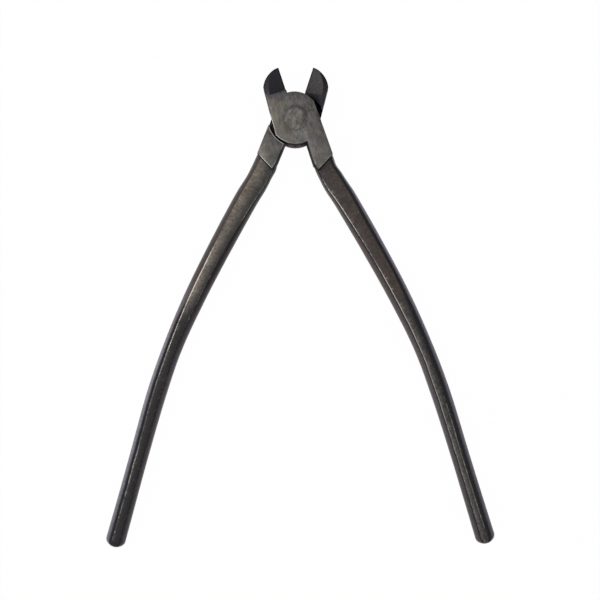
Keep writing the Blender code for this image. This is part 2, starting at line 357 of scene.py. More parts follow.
def head_outline(set_angle, cheek_drop):
    """Plan outline of jaw, cheek and handle root, counter-clockwise from the tip, and its first root edge."""
    corner = (-CHEEK_HALF_WIDTH, -CHEEK_CORNER_DROP)
    low_start = math.pi + math.atan2(CHEEK_CORNER_DROP, CHEEK_HALF_WIDTH)
    low_end = 2 * math.pi - math.acos(ROOT_INNER_TOP / CHEEK_RADIUS)
    low = oval((0.0, 0.0), (CHEEK_RADIUS, cheek_drop), low_start, low_end)
    root_corners = [
        (ROOT_INNER_END, -ROOT_INNER_LENGTH, 0.0),
        (ROOT_POINT_X, -ROOT_POINT_LENGTH, 0.0),
        (ROOT_END_WIDTH, -ROOT_OUTER_LENGTH, 0.0),
    ]
    root = [tuple((set_turn(set_angle) @ Vector(place)).to_2d()) for place in root_corners]
    side_radius = ROOT_TOP_WIDTH + ROOT_SHOULDER
    top_start = math.acos(ROOT_TOP_WIDTH / side_radius)
    top_end = math.acos(-EDGE_GAP / side_radius)
    top = oval((0.0, 0.0), (side_radius, CHEEK_HEEL_RADIUS), top_start, top_end)
    cheek = nose_arc() + [corner] + low[1:]
    return cheek + root + top, len(cheek) - 1


def head_plate(name, set_angle, cheek_drop):
    """The head as a plate with rounded rims, and with sloping walls on the inner side of the root."""
    outline, first_root_edge = head_outline(set_angle, cheek_drop)
    quarter = [math.radians(a) for a in (0.0, 30.0, 60.0, 90.0)]
    rims = [(RIM_ROUND * (1 - math.cos(a)), HALF_HEAD - RIM_ROUND * (1 - math.sin(a))) for a in quarter]
    draft_start = HALF_HEAD - DRAFT_HEIGHT
    levels = [(0.0, draft_start)] + rims
    levels = [(depth, -height) for depth, height in reversed(levels)] + levels
    rings = []
    for depth, z in levels:
        depths = [depth] * len(outline)
        for edge in (first_root_edge, first_root_edge + 1):
            depths[edge] += DRAFT_DEPTH * (abs(z) - draft_start) / DRAFT_HEIGHT
        rings.append([(x, y, z) for x, y in inset(outline, depths)])
    return lofted(name, rings)


def lap_cutter():
    """Space of the other lever's cheek below the lap plane, straight at the jaw. A flare breaks its rim."""
    rim = -HALF_HEAD + STEP_RIM_DEPTH
    low = -HALF_HEAD - CUT_MARGIN
    flare = STEP_RADIUS + STEP_RIM_WIDTH * (STEP_RIM_DEPTH + CUT_MARGIN) / STEP_RIM_DEPTH
    profile = [(STEP_RADIUS, LAP_GAP / 2), (STEP_RADIUS, rim), (flare, low)]
    cutter = turned("lap_cutter", profile)
    reach = 2 * flare
    beyond_step = box("beyond_step", (JAW_STEP_REACH, -reach, -reach), (reach, reach, reach))
    beyond_step.data.transform(Matrix.Rotation(JAW_STEP_TURN, 4, "Z"))
    combine(cutter, beyond_step, "DIFFERENCE")
    return cutter


def nose_taper(side):
    """Cutter that rounds the jaw towards its tip on one face. side is 1 or -1."""
    run = TIP_REACH - NOSE_TAPER_START
    drop = HALF_HEAD - TIP_HALF_THICKNESS
    radius = (run * run + drop * drop) / (2 * drop)
    sweep = math.atan2(run, radius - drop)
    past_tip = sweep * (run + CUT_MARGIN / 2) / run
    profile = arc((NOSE_TAPER_START, HALF_HEAD - radius), radius, math.pi / 2, math.pi / 2 - past_tip)
    profile.append((profile[-1][0], HALF_HEAD + CUT_MARGIN))
    profile.append((NOSE_TAPER_START, HALF_HEAD + CUT_MARGIN))
    reach = NOSE_WIDTH + CUT_MARGIN
    return lofted("nose_taper", [[(x, y, side * z) for y, z in profile] for x in (-reach, reach)])


def bevel_cutter(side, heel):
    """Cutter for the slope from the cutting edge to the outer face, above heel along the edge."""
    profile = [
        (-EDGE_GAP, 0.0),
        (-EDGE_GAP + CUT_MARGIN, 0.0),
        (-EDGE_GAP + CUT_MARGIN, HALF_HEAD + CUT_MARGIN),
        (-EDGE_GAP - BEVEL_WIDTH * (1 + CUT_MARGIN / HALF_HEAD), HALF_HEAD + CUT_MARGIN),
    ]
    return lofted("bevel", [[(x, y, side * z) for x, z in profile] for y in (heel, TIP_REACH + CUT_MARGIN)])


def relief_cutter():
    """Cutter for the sloping band between the bevel and the lap step, on the step face of the jaw."""
    heel = Vector((-EDGE_GAP, STEP_CREASE_HEEL, 0.0))
    crease = Vector((-BEVEL_WIDTH, STEP_CREASE_RISE, -HALF_HEAD)).normalized()
    fall = Vector((0.0, -math.cos(STEP_RELIEF_ANGLE), math.sin(STEP_RELIEF_ANGLE)))
    normal = fall.cross(crease).normalized()
    across = normal.cross(crease)
    band_high = (STEP_RADIUS + HALF_HEAD, CUT_MARGIN, 2 * HALF_HEAD)
    band = box("relief_band", (-CUT_MARGIN, -STEP_RADIUS, 0.0), band_high)
    turn = Matrix((crease, across, normal)).transposed().to_4x4()
    band.data.transform(Matrix.Translation(heel) @ turn)
    reach = TIP_REACH + CUT_MARGIN
    below_lap = box("relief", (-reach, 0.0, -2 * HALF_HEAD), (reach, reach, LAP_GAP / 2))
    combine(below_lap, band, "INTERSECT")
    return below_lap


def rivet_profile(clearance, overrun):
    """Rivet with a countersunk head on each face, or with clearance and overrun the hole for it.

    Without overrun the two points at each end are the same.
    """
    shank = RIVET_RADIUS + clearance
    head = RIVET_HEAD_RADIUS + clearance
    neck = HALF_HEAD - RIVET_HEAD_DEPTH
    half = [(head, HALF_HEAD + overrun), (head, HALF_HEAD), (shank, neck)]
    return half + [(radius, -height) for radius, height in reversed(half)]


# Handle bar


def smooth_value(values, i, t):
    """Catmull-Rom value between values[i] and values[i + 1]."""
    before = values[max(i - 1, 0)]
    after = values[min(i + 2, len(values) - 1)]
    a, b = values[i], values[i + 1]
    slope_a = (b - before) / 2
    slope_b = (after - a) / 2
    t2, t3 = t * t, t * t * t
    blend_a = (2 * t3 - 3 * t2 + 1) * a + (t3 - 2 * t2 + t) * slope_a
    return blend_a + (3 * t2 - 2 * t3) * b + (t3 - t2) * slope_b


def handle_line(set_angle):
    """Centre points, radii and flat heights of one handle, from inside the head to the end's tip."""
    columns = list(zip(*HANDLE_STATIONS))
    line = []
    for i in range(len(HANDLE_STATIONS) - 1):
        span = (columns[0][i + 1] - columns[0][i]) * (HANDLE_REACH - HANDLE_START)
        rings = math.ceil(span / RING_STEP)
        for k in range(rings):
            share, bow, radius, flat = (smooth_value(column, i, k / rings) for column in columns)
            along = HANDLE_START + share * (HANDLE_REACH - HANDLE_START)
            line.append((Vector((bow, -along, 0.0)), radius, flat))
    end_bow, end_radius, end_flat = HANDLE_STATIONS[-1][1:]
    end = Vector((end_bow, -HANDLE_REACH, 0.0))
    heading = (end - line[-1][0]).normalized()
    for k in range(DOME_RINGS + 1):
        step = math.sin(math.pi / 2 * k / DOME_RINGS)
        line.append((end + heading * HANDLE_DOME_LENGTH * step, end_radius, end_flat))
    turn = set_turn(set_angle)
    return [(turn @ point, radius, flat) for point, radius, flat in line]


def handle_line_object(set_angle):
    """The handle's line as a chain of edges that carries the bar's radius and flat height."""
    places, radii, flats = zip(*handle_line(set_angle))
    mesh = bpy.data.meshes.new("handle_line")
    mesh.from_pydata(places, [(i, i + 1) for i in range(len(places) - 1)], [])
    for name, values in (("bar_radius", radii), ("flat_height", flats)):
        mesh.attributes.new(name, "FLOAT", "POINT").data.foreach_set("value", values)
    return link("handle_line", mesh)


HANDLE_INPUTS = {
    # name: default
    "Edge Round": 0.3 * MM,
    "Flat Shift": 0.45 * MM,
    "Crown": 0.15 * MM,
    "Waver": 0.05 * MM,
    "Waver Length": 9.0 * MM,
    "Dent Depth": 0.05 * MM,
    "Dent Size": 5.0 * MM,
    "Root Fill": 0.25 * MM,
    "Root Trim": 0.0,
    "Dome Length": HANDLE_DOME_LENGTH,
    "Seed": 0.0,
}
FRONT_BAR = {"Seed": 3.0, "Root Trim": 0.55 * MM}
REAR_BAR = {"Seed": 11.0, "Crown": 0.08 * MM, "Root Fill": 0.65 * MM}


def handle_tree():
    """Sweeps the bar's section along a line: round flanks, two slightly crowned flats and a domed end."""
    tree = bpy.data.node_groups.new("handle_bar", "GeometryNodeTree")
    tree.interface.new_socket("Line", in_out="INPUT", socket_type="NodeSocketGeometry")
    for name, default in HANDLE_INPUTS.items():
        socket = tree.interface.new_socket(name, in_out="INPUT", socket_type="NodeSocketFloat")
        socket.default_value = default
    tree.interface.new_socket("Section Points", in_out="INPUT", socket_type="NodeSocketInt")
    tree.interface.new_socket("Finish", in_out="INPUT", socket_type="NodeSocketMaterial")
    tree.interface.new_socket("Bar", in_out="OUTPUT", socket_type="NodeSocketGeometry")
    start = Wire(tree)
    source = tree.nodes.new("NodeGroupInput")
    given = {socket.name: Wire(tree, socket) for socket in source.outputs}

    def store(geometry, name, kind, value):
        settings = {"data_type": kind, "domain": "POINT"}
        inputs = {"Geometry": geometry, "Name": name, "Value": value}
        return start.node("GeometryNodeStoreNamedAttribute", settings, inputs)

    def stored(name, kind="FLOAT"):
        return start.node("GeometryNodeInputNamedAttribute", {"data_type": kind}, {"Name": name})

    def vector(operation, first, second):
        inputs = {0: first, 1: second}
        return start.node("ShaderNodeVectorMath", {"operation": operation}, inputs)

    def scaled(direction, amount):
        inputs = {0: direction, "Scale": amount}
        return start.node("ShaderNodeVectorMath", {"operation": "SCALE"}, inputs)

    # The line keeps its own values for the section that is swept along it
    up = (0.0, 0.0, 1.0)
    curve = start.node("GeometryNodeMeshToCurve", None, {"Mesh": given["Line"]})
    along = start.node("GeometryNodeSplineParameter", output="Length")
    whole = start.node("GeometryNodeSplineLength", output="Length")
    tangent = start.node("GeometryNodeInputTangent")
    outwards = vector("CROSS_PRODUCT", up, tangent)
    line = store(curve, "along", "FLOAT", along)
    line = store(line, "to_end", "FLOAT", whole - along)
    line = store(line, "line_place", "FLOAT_VECTOR", start.node("GeometryNodeInputPosition"))
    line = store(line, "outwards", "FLOAT_VECTOR", outwards)
    circle = start.node("GeometryNodeCurvePrimitiveCircle", None, {"Resolution": given["Section Points"]})
    turn = start.node("GeometryNodeSplineParameter", output="Factor")
    section = store(circle, "turn", "FLOAT", turn)
    sweep = {"Curve": line, "Profile Curve": section, "Scale": MM, "Fill Caps": True}
    bar = start.node("GeometryNodeCurveToMesh", None, sweep)

    # Place on the section: 0 at the side of the bar, half at a flat's edge, 1 at the middle of a flat
    turn, along, to_end, radius = (stored(name) for name in ("turn", "along", "to_end", "bar_radius"))
    quarter = start.math("PINGPONG", turn, 0.25) * 4.0
    from_edge = quarter * 2.0 - 1.0
    gathered = start.math("SIGN", from_edge) * start.math("ABSOLUTE", from_edge) ** EDGE_GATHER
    on_flat = start.math("GREATER_THAN", gathered, 0.0)
    angle = turn * (2 * math.pi)
    outer = start.math("SIGN", start.math("COSINE", angle))
    upper = start.math("SIGN", start.math("SINE", angle))

    noise_settings = {"noise_dimensions": "1D"}
    noise_inputs = {"W": along / given["Waver Length"] + given["Seed"], "Scale": 1.0, "Detail": 2.0}
    waver = start.node("ShaderNodeTexNoise", noise_settings, noise_inputs) - 0.5
    half_flat = stored("flat_height") + waver * 2.0 * given["Waver"]
    half_flat = start.math("MINIMUM", half_flat, radius * WIDEST_FLAT)
    edge_angle = start.math("ARCSINE", half_flat / radius)
    half_width = radius * start.math("COSINE", edge_angle)
    flank_x = radius * start.math("COSINE", edge_angle * (gathered + 1.0))
    flat_x = half_width * (1.0 - gathered)
    x = flank_x + on_flat * (flat_x - flank_x)
    round_height = start.math("SQRT", start.math("MAXIMUM", radius * radius - x * x, 0.0))
    flat_share = start.math("MINIMUM", x / half_width, 1.0)
    crowned = half_flat - given["Crown"] * flat_share * flat_share
    height = start.math("SMOOTH_MIN", round_height, crowned, given["Edge Round"])
    edge = on_flat * (half_width - x) + (1.0 - on_flat) * radius * edge_angle * gathered

    # Below the root the inner side is fuller and the outer side trimmed. The palm side fills out towards
    # the end, which is domed
    below_root = (along - ROOT_FILL_PLACE) / ROOT_FILL_LENGTH
    fill = start.math("EXPONENT", below_root * below_root * -1.0) * given["Root Fill"]
    below_root = (along - ROOT_TRIM_PLACE) / ROOT_TRIM_LENGTH
    trim = start.math("EXPONENT", below_root * below_root * -1.0) * given["Root Trim"]
    inwards = (fill * (0.5 - outer * 0.5) + trim * (0.5 + outer * 0.5)) * flat_share
    end_share = start.math("MINIMUM", along / (HANDLE_REACH - HANDLE_START), 1.0)
    fullness = end_share.ramp(PALM_START, PALM_FULL) * given["Flat Shift"]
    lift = height / half_flat
    dome = start.math("MAXIMUM", 1.0 - to_end / given["Dome Length"], 0.0) * DOME_LIMIT
    narrow = start.math("SQRT", 1.0 - dome * dome)
    thin = (1.0 - dome ** 3.0) ** (1 / 3.0)
    across = (x * outer - fullness * lift * lift - inwards) * narrow
    rise = height * upper * thin
    sideways = scaled(stored("outwards", "FLOAT_VECTOR"), across)
    place = vector("ADD", stored("line_place", "FLOAT_VECTOR"), sideways)
    place = vector("ADD", place, scaled(up, rise))
    bar = store(bar, "edge", "FLOAT", edge)
    bar = store(bar, "across", "FLOAT", outer * flat_share)
    bar = start.node("GeometryNodeSetPosition", None, {"Geometry": bar, "Position": place})

    # Shallow unevenness of a forged surface
    spot = vector("DIVIDE", start.node("GeometryNodeInputPosition"), (MM, MM, MM))
    noise_settings = {"noise_dimensions": "4D"}
    noise_inputs = {"Vector": spot, "W": given["Seed"], "Scale": MM / given["Dent Size"], "Detail": 3.0}
    dents = (start.node("ShaderNodeTexNoise", noise_settings, noise_inputs) - 0.5) * 2.0
    offset = scaled(start.node("GeometryNodeInputNormal"), dents * given["Dent Depth"])
    bar = start.node("GeometryNodeSetPosition", None, {"Geometry": bar, "Offset": offset})
    bar = start.node("GeometryNodeRealizeInstances", None, {"Geometry": bar})
    bar = start.node("GeometryNodeSetMaterial", None, {"Geometry": bar, "Material": given["Finish"]})
    result = tree.nodes.new("NodeGroupOutput")
    tree.links.new(bar.socket, result.inputs["Bar"])
    return tree


def handle_bar(tree, set_angle, finish, sizes):
    """A closed bar swept along the handle's line. sizes are inputs of the tree by name."""
    obj = handle_line_object(set_angle)
    modifier = obj.modifiers.new("Bar", "NODES")
    modifier.node_group = tree
    values = dict(HANDLE_INPUTS)
    values.update(sizes)
    values["Section Points"] = SECTION_POINTS
    values["Finish"] = finish
    for socket in tree.interface.items_tree:
        if socket.name in values:
            modifier[socket.identifier] = values[socket.name]
    settle(obj)
    bm = bmesh.new()
    bm.from_mesh(obj.data)
    obj.data = mesh_of("handle_bar", bm)
    return obj


MARKS = ("along", "edge", "across")


def marks_of(obj):
    """A bar's surface, for finding places on it, with its corners, its faces and the corners' values."""
    mesh = obj.data
    corners = [vertex.co.copy() for vertex in mesh.vertices]
    faces = [tuple(face.vertices) for face in mesh.polygons]
    values = {name: [item.value for item in mesh.attributes[name].data] for name in MARKS}
    return BVHTree.FromPolygons(corners, faces), corners, faces, values


def carry_marks(bar, mesh):
    """Give the joined lever its bar's values, and the distance from where the bar leaves the root."""
    surface, corners, faces, values = bar
    for name in [a.name for a in mesh.attributes if a.domain == "POINT" and not a.is_required]:
        mesh.attributes.remove(mesh.attributes[name])
    marks = {name: mesh.attributes.new(name, "FLOAT", "POINT") for name in (*MARKS, "from_root")}
    seam = KDTree(len(mesh.vertices))
    for vertex in mesh.vertices:
        spot, _, index, distance = surface.find_nearest(vertex.co)
        if distance > MERGE:
            continue
        around = [corners[i] for i in faces[index]]
        weights = poly_3d_calc(around, spot)
        for name in MARKS:
            value = sum(weight * values[name][i] for weight, i in zip(weights, faces[index]))
            marks[name].data[vertex.index].value = value
        if all((vertex.co - corner).length > MERGE for corner in around):
            seam.insert(vertex.co, vertex.index)
    seam.balance()
    for vertex in mesh.vertices:
        marks["from_root"].data[vertex.index].value = seam.find(vertex.co)[2]


# Levers

# Numbers of a lever's finishes, and what tells its faces apart
GROUND, BEVEL, SIDE, RIM, WALL, SCALE = range(6)
JAW_START = CHEEK_RADIUS - 1.5 * MM
STEEPEST_SLOPE = 0.2
LEVEL = 0.995
FACE_SKIN = 0.05 * MM
BAR_SKIN = 4 * MERGE


def paint_faces(mesh, bar_surface):
    """Give each face the finish that its place and slope call for, in the lever's closed frame."""
    for face in mesh.polygons:
        height = abs(face.center.z)
        up = abs(face.normal.z)
        on_bar = bar_surface.find_nearest(face.center)[3] < BAR_SKIN
        slope = face.center.y > JAW_START and up > STEEPEST_SLOPE
        towards_edge = abs(face.normal.x) > abs(face.normal.y)
        if on_bar:
            face.material_index = SCALE
        elif slope and towards_edge:
            face.material_index = BEVEL
        elif slope and face.center.z < 0.0:
            face.material_index = SIDE
        elif slope or (up > LEVEL and height > HALF_HEAD - FACE_SKIN):
            face.material_index = GROUND
        elif height > HALF_HEAD - RIM_ROUND:
            face.material_index = RIM
        else:
            face.material_index = WALL


def lever(name, set_angle, cheek_drop, place, tree, finishes, sizes):
    """A head cut from a plate and joined to its handle, moved from its closed frame to its place at rest."""
    obj = head_plate(name, set_angle, cheek_drop)
    for cutter in (lap_cutter(), nose_taper(1), nose_taper(-1), bevel_cutter(1, BEVEL_HEEL)):
        combine(obj, cutter, "DIFFERENCE")
    combine(obj, bevel_cutter(-1, CHEEK_RADIUS / 2), "DIFFERENCE")
    combine(obj, relief_cutter(), "DIFFERENCE")
    combine(obj, turned("rivet_hole", rivet_profile(RIVET_GAP, CUT_MARGIN)), "DIFFERENCE")
    bar = handle_bar(tree, set_angle, finishes[SCALE], sizes)
    bar_marks = marks_of(bar)
    combine(obj, bar, "UNION")
    mesh = obj.data
    merge_touching(mesh)
    carry_marks(bar_marks, mesh)
    mesh.materials.clear()
    for finish in finishes:
        mesh.materials.append(finish)
    paint_faces(mesh, bar_marks[0])
    mesh.shade_smooth()
    mesh.set_sharp_from_angle(angle=SHARP_ANGLE)
    mesh.transform(place)
    return obj


def rivet(place, finish):
    profile = rivet_profile(0.0, 0.0)
    del profile[-1], profile[0]
    obj = turned("rivet", profile)
    obj.data.materials.append(finish)
    obj.data.shade_smooth()
    obj.data.set_sharp_from_angle(angle=SHARP_ANGLE)
    obj.data.transform(place)
    return obj


# Finishes


def new_finish(name):
    """A material with a Principled shader, as the material, its tree and its shader."""
    material = bpy.data.materials.new(name)
    material.use_nodes = True
    shader = material.node_tree.nodes["Principled BSDF"]
    return material, Wire(material.node_tree), shader


def feed(shader, name, wire):
    wire.tree.links.new(wire.socket, shader.inputs[name])


def closed_frame_mm(start, turn):
    """Place on a lever in its closed frame, in millimetres. turn is the lever's rotation at rest."""
    place = start.node("ShaderNodeTexCoord", output="Object")
    inputs = {"Vector": place, "Location": (0.0, 0.0, HALF_HEAD), "Rotation": turn, "Scale": (MM, MM, MM)}
    return start.node("ShaderNodeMapping", {"vector_type": "TEXTURE"}, inputs)


def noise(place, size, detail=3.0, stretch=(1.0, 1.0, 1.0), roughness=0.55):
    """Noise with features of about that size in millimetres, longer along an axis by its stretch."""
    scale = tuple(1 / (size * s) for s in stretch)
    spot = place.node("ShaderNodeVectorMath", {"operation": "MULTIPLY"}, {0: place, 1: scale})
    inputs = {"Vector": spot, "Scale": 1.0, "Detail": detail, "Roughness": roughness}
    return place.node("ShaderNodeTexNoise", None, inputs)


def bump(height, distance, strength):
    return height.node("ShaderNodeBump", None, {"Height": height, "Distance": distance, "Strength": strength})


def level_distance(place, centre):
    """Distance in millimetres from an upright line through centre."""
    away = place.node("ShaderNodeVectorMath", {"operation": "SUBTRACT"}, {0: place, 1: (*centre, 0.0)})
    level = place.node("ShaderNodeVectorMath", {"operation": "MULTIPLY"}, {0: away, 1: (1.0, 1.0, 0.0)})
    return place.node("ShaderNodeVectorMath", {"operation": "LENGTH"}, {0: level}, "Value")


def along_axis(place, axis):
    return place.node("ShaderNodeSeparateXYZ", None, {0: place}, axis)


def nose_outline_shade(place):
    """Mask of a narrow band inside the round outline of the jaw's nose, for painted shade on its rounded
    edge.
    """
    centre = nose_centre() / MM
    inside = NOSE_RADIUS / MM - level_distance(place, centre)
    return inside.ramp(0.6, 0.15) * along_axis(place, "Y").ramp(11.0, 15.0)


def spots(place, rounds):
    """Soft round masks of (x, y, radius, strength) in millimetres, the strongest one at each point."""
    mask = None
    for x, y, radius, strength in rounds:
        spot = level_distance(place, (x, y)).ramp(radius, radius * 0.4) * strength
        mask = spot if mask is None else place.math("MAXIMUM", mask, spot)
    return mask


# Soft shade about the rivet, and the seam around it, in millimetres
SHADE_SIDE = (0.93, 0.37, 0.0)
SHADE_CENTRE = (-0.3, 0.7)
SHADE_RADIUS = 4.3
SEAM_WIDTH = 0.3


def rivet_shade(place):
    """Mask of a soft dark ring about the rivet, a little off its middle and stronger on one side."""
    away = place.math("ABSOLUTE", level_distance(place, SHADE_CENTRE) - SHADE_RADIUS)
    ring = place.math("EXPONENT", away * away * -1.0)
    inputs = {0: place, 1: SHADE_SIDE}
    side = place.node("ShaderNodeVectorMath", {"operation": "DOT_PRODUCT"}, inputs, "Value")
    return ring * (0.1 + side.ramp(-3.0, 6.0) * 0.6)


def rivet_seam(place):
    """Mask of the thin seam around the rivet's head."""
    away = level_distance(place, (0.0, 0.0)) - RIVET_HEAD_RADIUS / MM
    return place.math("EXPONENT", (place.math("ABSOLUTE", away) / SEAM_WIDTH) ** 2.0 * -1.0)


def ground_steel(name, turn, pale_spots, dull_spots):
    """The flat faces of the head: ground steel gone dull and mottled, with painted shade towards the jaw's
    tip and nose.
    """
    material, start, shader = new_finish(name)
    place = closed_frame_mm(start, turn)
    blotch = noise(place, 4.0, 3.0).ramp(0.35, 0.65)
    mottle = noise(place, 1.0, 5.0, (1.0, 1.6, 1.0), 0.7).ramp(0.3, 0.7)
    streak = noise(place, 0.4, 4.0, (1.0, 9.0, 1.0))
    tarnish = noise(place, 2.4, 4.0).ramp(0.48, 0.68)
    light = blotch * 0.25 + mottle * 0.43 + streak.ramp(0.3, 0.7) * 0.32
    tone = light.blend(colour(43, 42, 44), colour(128, 126, 122))
    tone = (spots(place, pale_spots) * 0.42).blend(tone, colour(114, 113, 109))
    tone = (spots(place, dull_spots) * 0.5).blend(tone, colour(81, 75, 67))
    tone = (tarnish * 0.5).blend(tone, colour(94, 82, 64))
    fleck = noise(place, 0.55, 2.0).ramp(0.64, 0.72) * noise(place, 5.0, 2.0).ramp(0.42, 0.6)
    tone = (fleck * 0.65).blend(tone, colour(150, 130, 98))
    tone = rivet_shade(place).blend(tone, colour(50, 48, 50))
    tone = (rivet_seam(place) * 0.33).blend(tone, colour(48, 46, 48))
    # Painted shade towards the tip, where the nose slopes away from the light
    tip_shade = along_axis(place, "Y").ramp(7.5, 14.0)
    tip_shade_tone = (mottle * 0.5 + blotch * 0.5).blend(colour(60, 58, 62), colour(80, 77, 82))
    tone = tip_shade.blend(tone, tip_shade_tone)
    # Painted shade along the nose's outline, where its rounded edge turns away from the light
    tone = (nose_outline_shade(place) * 0.8).blend(tone, colour(24, 22, 25))
    feed(shader, "Base Color", tone)
    shader.inputs["Metallic"].default_value = 1.0
    feed(shader, "Roughness", 0.5 - streak * 0.15)
    feed(shader, "Normal", bump(streak + mottle * 0.5, 0.02 * MM, 0.4))
    return material


def jaw_steel(name, turn, tones):
    """Ground slopes of the jaws with slanting grinding marks. tones are dark, pale, stain and relief."""
    material, start, shader = new_finish(name)
    place = closed_frame_mm(start, turn)
    x = along_axis(place, "X")
    dark, pale, stained, relief = (colour(*tone) for tone in tones)
    inputs = {"Vector": place, "Rotation": (0.0, 0.0, math.radians(35.0))}
    slanted = start.node("ShaderNodeMapping", None, inputs)
    marks = noise(slanted, 0.45, 3.0, (9.0, 1.0, 1.0))
    tone = marks.ramp(0.3, 0.7).blend(dark, pale)
    stain = noise(place, 2.2, 3.0).ramp(0.4, 0.7)
    tone = (stain * (0.2 + x.ramp(-2.0, -6.0) * 0.4)).blend(tone, stained)

    # Below the crease the slope turns away to the lap step
    heel = along_axis(place, "Y") + x * (STEP_CREASE_RISE / BEVEL_WIDTH) - STEP_CREASE_HEEL / MM
    tone = heel.ramp(0.15, -0.15).blend(tone, relief)
    crease = start.math("EXPONENT", heel * heel * -9.0) * noise(place, 1.2, 3.0).ramp(0.42, 0.6)
    crease = crease * x.ramp(-7.2, -6.2)
    tone = (crease * 0.38).blend(tone, colour(126, 94, 70))
    tone = (x.ramp(-0.6, -0.25) * 0.85).blend(tone, colour(18, 16, 19))
    # Painted shade along the nose's outline, where its rounded edge turns away from the light
    tone = (nose_outline_shade(place) * 0.7).blend(tone, colour(20, 18, 21))
    feed(shader, "Base Color", tone)
    shader.inputs["Metallic"].default_value = 1.0
    feed(shader, "Roughness", 0.48 - marks * 0.12)
    feed(shader, "Normal", bump(marks, 0.02 * MM, 0.4))
    return material


def worn_rim(name, turn, rubbed_spots):
    """The thin rounded rims of the ground faces, bright where they are rubbed."""
    material, start, shader = new_finish(name)
    place = closed_frame_mm(start, turn)
    broken = noise(place, 1.6, 4.0).ramp(0.1, 0.35)
    rubbed = spots(place, rubbed_spots) * broken
    dull = noise(place, 2.0, 3.0).blend(colour(66, 63, 60), colour(98, 95, 91))
    feed(shader, "Base Color", rubbed.blend(dull, colour(182, 179, 171)))
    shader.inputs["Metallic"].default_value = 1.0
    feed(shader, "Roughness", 0.48 - rubbed * 0.16)
    return material


def black_wall(name, turn, brown_and_sheen_tone, brown_and_sheen_spots):
    """The walls and the lapped faces of the head: dull black scale, brown in places, partly brown scale and
    partly painted light and a painted reflection of the floor.
    """
    material, start, shader = new_finish(name)
    place = closed_frame_mm(start, turn)
    grain = noise(place, 0.6, 4.0)
    # Brown and mauve at the spots: partly brown scale, partly painted light in shaded gaps and a painted
    # reflection of the floor
    brown_and_sheen = spots(place, brown_and_sheen_spots) * (0.5 + noise(place, 1.8, 3.0).ramp(0.35, 0.65) * 0.5)
    tone = grain.blend(colour(9, 8, 9), colour(24, 22, 23))
    feed(shader, "Base Color", brown_and_sheen.blend(tone, colour(*brown_and_sheen_tone)))
    feed(shader, "Roughness", 0.55 + grain * 0.2)
    shader.inputs["Specular IOR Level"].default_value = 0.06
    feed(shader, "Normal", bump(grain, 0.03 * MM, 0.5))
    return material


# Width of the painted shade in the corner at the root
ROOT_SHADE_WIDTH = 0.45 * MM


